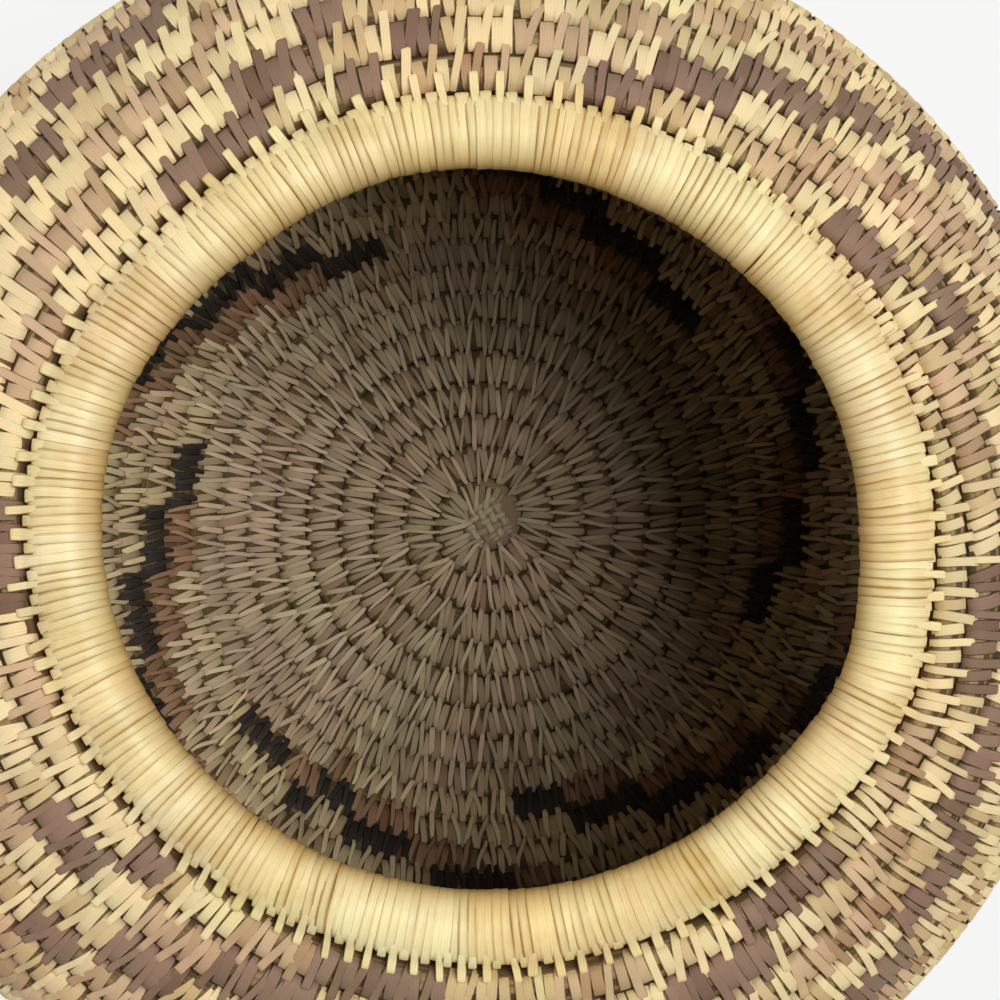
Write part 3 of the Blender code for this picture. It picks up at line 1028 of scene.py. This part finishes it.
# Four wide teeth and four slim, long ones
for index, (reach, width) in enumerate(
    (
        (0.0, 2.1), (0.3, 1.9), (-0.4, 2.3), (-0.1, 1.7),
        (0.9, 1.5), (1.2, 1.4), (0.5, 1.65), (1.0, 1.5),
    )
):
    path = [
        (0, -0.87, 4.92),
        (0, -2.57, 4.46),
        (0, -3.89, 3.89),
        (0, -4.88, 3.05),
        (0, -5.9, 2.62),
        (0, -6.8 - reach, 2.5),
        (0, -7.3 - reach, 2.42),
        (0, -7.5 - reach, 2.05),
    ]
    widths = width * np.array((0.7, 0.8, 0.9, 0.95, 1.0, 1.0, 1.0, 0.9))
    rim_teeth.append(strip_mesh(f"rim_tooth_{index}", path, widths, 0.42, start=0.45))
rim_fillers = []
for index, (reach, width) in enumerate(((0.0, 2.2), (0.2, 1.9), (-0.2, 2.4), (0.1, 2.0))):
    path = [
        (0, -0.87, 4.92),
        (0, -2.57, 4.46),
        (0, -3.89, 3.85),
        (0, -4.7, 3.0),
        (0, -5.1 - reach, 2.6),
        (0, -5.3 - reach, 2.1),
    ]
    widths = width * np.array((0.7, 0.8, 0.95, 1.0, 1.0, 0.9))
    rim_fillers.append(strip_mesh(f"rim_filler_{index}", path, widths, 0.34, start=0.45))
rim_strips = strip_collection("rim_strips", rings + rim_teeth + rim_fillers)

# Pale and a little glossy. Browner along both edges of each turn, partly the splints' own edges
# and partly painted shade in the creases between turns, and darker and browner on the side
# towards the mouth, partly grime and partly painted shade on the rim's inner face
rim_splint, rim_surface = new_material("rim_splint", 0.42)
shade = add_node(rim_splint, "ShaderNodeValToRGB", {"Fac": attribute(rim_splint, "dye")})
shade.color_ramp.elements[0].color = colour(246, 220, 156)
shade.color_ramp.elements[1].color = colour(255, 240, 188)
turn_tone = attribute(rim_splint, "tone")
turn_value = spread_over(rim_splint, turn_tone, 0, 1, 0.9, 1.05)
turn_shade = with_value(rim_splint, shade.outputs["Color"], turn_value)
rim_place = add_node(rim_splint, "ShaderNodeTexCoord")
rim_parts = add_node(rim_splint, "ShaderNodeSeparateXYZ", {"Vector": rim_place.outputs["UV"]})
# Browner towards both edges of each turn: partly the splint's own edges, partly painted shade in the
# creases between turns
rim_apart = calculate(rim_splint, "SUBTRACT", rim_parts.outputs["X"], 0.5)
rim_off = calculate(rim_splint, "ABSOLUTE", rim_apart)
rim_edge_shade_mask = spread_over(rim_splint, rim_off, 0.2, 0.42, 0.0, 1.0)
# Some turns show their edges more than others
rim_crisp = spread_over(rim_splint, turn_tone, 0, 0.8, 1.0, 0.05)
rim_edge_and_crease_shade = calculate(rim_splint, "MULTIPLY", rim_edge_shade_mask, rim_crisp)
# Darker and browner along each turn towards the mouth: partly grime, partly painted shade on the
# rim's inner face
rim_mouth_grime_and_shade = spread_over(rim_splint, rim_parts.outputs["Y"], 0.19, 0.38, 0.8, 0.0)
inputs = {"Vector": rim_place.outputs["Object"], "Scale": 70.0, "Detail": 4.0}
rim_patches = add_node(rim_splint, "ShaderNodeTexNoise", inputs)
rim_smudge = spread_over(rim_splint, rim_patches.outputs["Fac"], 0.45, 0.75, 0.0, 0.6)
rim_smudge_and_crease_shade = calculate(rim_splint, "ADD", rim_edge_and_crease_shade, rim_smudge)
rim_grime_and_painted_shade = calculate(rim_splint, "MAXIMUM", rim_smudge_and_crease_shade, rim_mouth_grime_and_shade)
# One brown tint for the smudges, the edge lines and the mouth side: real grime and painted shade
# together
rim_grimed_and_shaded = multiplied(rim_splint, rim_grime_and_painted_shade, turn_shade, colour(200, 168, 116))
rim_fibres = streaks(rim_splint, 7, 3.0, 4.0)
rim_shade = fibrous(rim_splint, rim_grimed_and_shaded, rim_fibres, 0.82, 1.06)
rim_stained = stain_over(rim_splint, rim_shade, 0.25)
rim_splint.node_tree.links.new(rim_stained, rim_surface.inputs["Base Color"])
bump(rim_splint, rim_surface, rim_fibres, 0.25, 0.0002)

# How far the turns lean at these directions, in degrees, with a few kinks
RIM_LEANS = (
    (0, 3), (60, 3), (66, 6), (72, 2), (101, 3), (105, 7), (110, 2), (117, 7), (122, 2), (129, 7),
    (135, 2), (150, 6), (157, 3), (236, 3), (245, 11), (252, 4), (263, -3), (268, 4), (360, 3),
)
SPLINTS = 28
TURNS_PER_SPLINT = 10
# The first splint spans a wider stretch, over the tail
TURNS_OF_FIRST = 18
RIM_TOOTH_GAP = 0.0037
half_joint = math.asin((2 * RIM_OUTER_RADIUS + 0.00015) / RIM[0])
first_corner = TAIL_AZIMUTH + half_joint
corners = np.linspace(first_corner, TAIL_AZIMUTH + math.tau - half_joint, SPLINTS)
rng = np.random.default_rng(21)
tooth_places = []
place = corners[-1] - math.tau + 0.02
while place < corners[-1] - 0.02:
    tooth_places.append(place + rng.uniform(-0.005, 0.005))
    place += RIM_TOOTH_GAP / RIM[0] * around(CLOSENESS, place)
for number in range(1, SPLINTS + 1):
    start = corners[number - 2] - (math.tau if number == 1 else 0)
    end = corners[number - 1]
    turns = TURNS_OF_FIRST if number == 1 else TURNS_PER_SPLINT
    azimuth = start + (end - start) * (np.arange(turns) + 0.5) / turns
    azimuth += rng.uniform(-0.0016, 0.0016, turns)
    centre, along, up = rim_frame(azimuth)
    lean = np.radians(around(RIM_LEANS, azimuth))
    tooth_azimuth = np.array([place for place in tooth_places if start <= place < end])
    # Between two teeth a shorter strip closes most of the groove
    closeness = around(CLOSENESS, tooth_azimuth)
    gap_azimuth = tooth_azimuth + 0.5 * RIM_TOOTH_GAP / RIM[0] * closeness
    tooth_azimuth = np.concatenate([tooth_azimuth, gap_azimuth])
    tooth_count = len(tooth_azimuth)
    tooth_centre, tooth_along, tooth_up = rim_frame(tooth_azimuth)
    splint_shade = np.clip(rng.normal(0.5, 0.25), 0, 1)
    # Some teeth are narrow and long, and most of those stand together
    tooth_degrees = np.degrees(tooth_azimuth) % 360
    slim_share = np.where(np.abs(tooth_degrees - 104) < 28, 0.7, 0.15)
    slim = rng.uniform(0, 1, tooth_count) < slim_share
    # They are widest towards 150 degrees, and towards 0 degrees they hardly leave the rim
    widest = np.cos(tooth_azimuth - math.radians(150))
    tooth_size = np.ones((tooth_count, 3))
    tooth_size[:, 0] = around(CLOSENESS, tooth_azimuth) * (0.87 + 0.13 * widest)
    tooth_size[:, 1] = 1 - 0.1 * np.maximum(np.cos(tooth_azimuth), 0)
    turn_size = np.ones((turns, 3))
    turn_size[:, 1:] = rng.uniform(0.972, 1.0) - rng.uniform(0, 0.012, turns)[:, None]
    # Among the strips to pick from, the rings come first, then wide teeth, slim teeth, fillers
    tooth_kind = np.where(np.arange(tooth_count) < tooth_count / 2, 4.0 + 4.0 * slim, 12.0)
    turn_spread = np.full(turns, math.radians(1.7))
    tooth_spread = np.full(tooth_count, math.radians(6))
    places = {
        "centre": np.concatenate([centre, tooth_centre]),
        "along": np.concatenate([along, tooth_along]),
        "up": np.concatenate([up, tooth_up]),
        "size": np.concatenate([turn_size, tooth_size]),
        "lean": np.concatenate([lean, np.full(tooth_count, math.radians(4))]),
        "spread": np.concatenate([turn_spread, tooth_spread]),
        "kind": np.concatenate([np.zeros(turns), tooth_kind]),
        "dye": np.full(turns + tooth_count, splint_shade),
        "tone": np.concatenate([rng.uniform(0, 1, turns), rng.uniform(0.6, 1, tooth_count)]),
    }
    name = f"rim_wrap_{number:02d}"
    inputs = {"Kinds": 4, "Seed": 60 + number, "Fibre": rim_splint, "Width spread": 0.04}
    sew(f"{name}_turns", places, rim_strips, "rim_wrap", name, **inputs)

# The strips that were picked from aren't pieces themselves
for collection in (tooth_strips, filler_strips, peg_strips, wad_strips, plaits, rim_strips):
    for made in list(collection.objects):
        mesh = made.data
        bpy.data.objects.remove(made)
        bpy.data.meshes.remove(mesh)
    bpy.data.collections.remove(collection)

# Table
# A plain pale table, which shows near white to the camera and keeps a faint shadow.
bpy.ops.mesh.primitive_plane_add(size=4)
table = bpy.context.object
table.name = "table"
table_paint, table_surface = new_material("table_paint", 0.9)
table_surface.inputs["Base Color"].default_value = colour(244, 245, 244)
inputs = {"Color": colour(247, 248, 247), "Strength": 1.0}
table_glow = add_node(table_paint, "ShaderNodeEmission", inputs).outputs[0]
table_rays = add_node(table_paint, "ShaderNodeLightPath").outputs["Is Camera Ray"]
glow_share = calculate(table_paint, "MULTIPLY", table_rays, 0.8)
inputs = {0: glow_share, 1: table_surface.outputs[0], 2: table_glow}
table_mix = add_node(table_paint, "ShaderNodeMixShader", inputs)
table_output = table_paint.node_tree.nodes["Material Output"]
table_paint.node_tree.links.new(table_mix.outputs[0], table_output.inputs["Surface"])
table.data.materials.append(table_paint)

# Light
# A soft studio, brighter low down than overhead. A key lamp above and to the right reaches
# into the mouth and lights the left of the inside, and a weak one fills in from the left.
world = bpy.data.worlds.new("studio")
bpy.context.scene.world = world
world.use_nodes = True
sky = world.node_tree.nodes["Background"]
sky.inputs["Color"].default_value = (1, 1, 1, 1)
sky_place = add_node(world, "ShaderNodeTexCoord").outputs["Generated"]
sky_parts = add_node(world, "ShaderNodeSeparateXYZ", {"Vector": sky_place})
sky_light = spread_over(world, sky_parts.outputs["Z"], 0.56, 0.74, 0.45, 0.055)
# The camera sees a plain near-white
sky_rays = add_node(world, "ShaderNodeLightPath").outputs["Is Camera Ray"]
sky_mix = add_node(world, "ShaderNodeMix", {0: sky_rays, 2: sky_light, 3: 0.94})
world.node_tree.links.new(sky_mix.outputs[0], sky.inputs["Strength"])


def area_lamp(name, azimuth, tilt, distance, size, power):
    """A lamp aimed at the mouth, tilted this far from straight above. Its sizes are down the
    tilt and across it."""
    lamp = bpy.data.lights.new(name, "AREA")
    lamp.shape = "RECTANGLE"
    lamp.size, lamp.size_y = size
    lamp.energy = power
    made = bpy.data.objects.new(name, lamp)
    azimuth = math.radians(azimuth)
    tilt = math.radians(tilt)
    made.location = (
        distance * math.sin(tilt) * math.cos(azimuth),
        distance * math.sin(tilt) * math.sin(azimuth),
        0.12 + distance * math.cos(tilt),
    )
    made.rotation_euler = (0, tilt, azimuth)
    bpy.context.scene.collection.objects.link(made)


area_lamp("key", 12, 23, 1.5, (0.74, 0.6), 18.5)
area_lamp("fill", 170, 56, 1.5, (0.45, 1.2), 6.5)
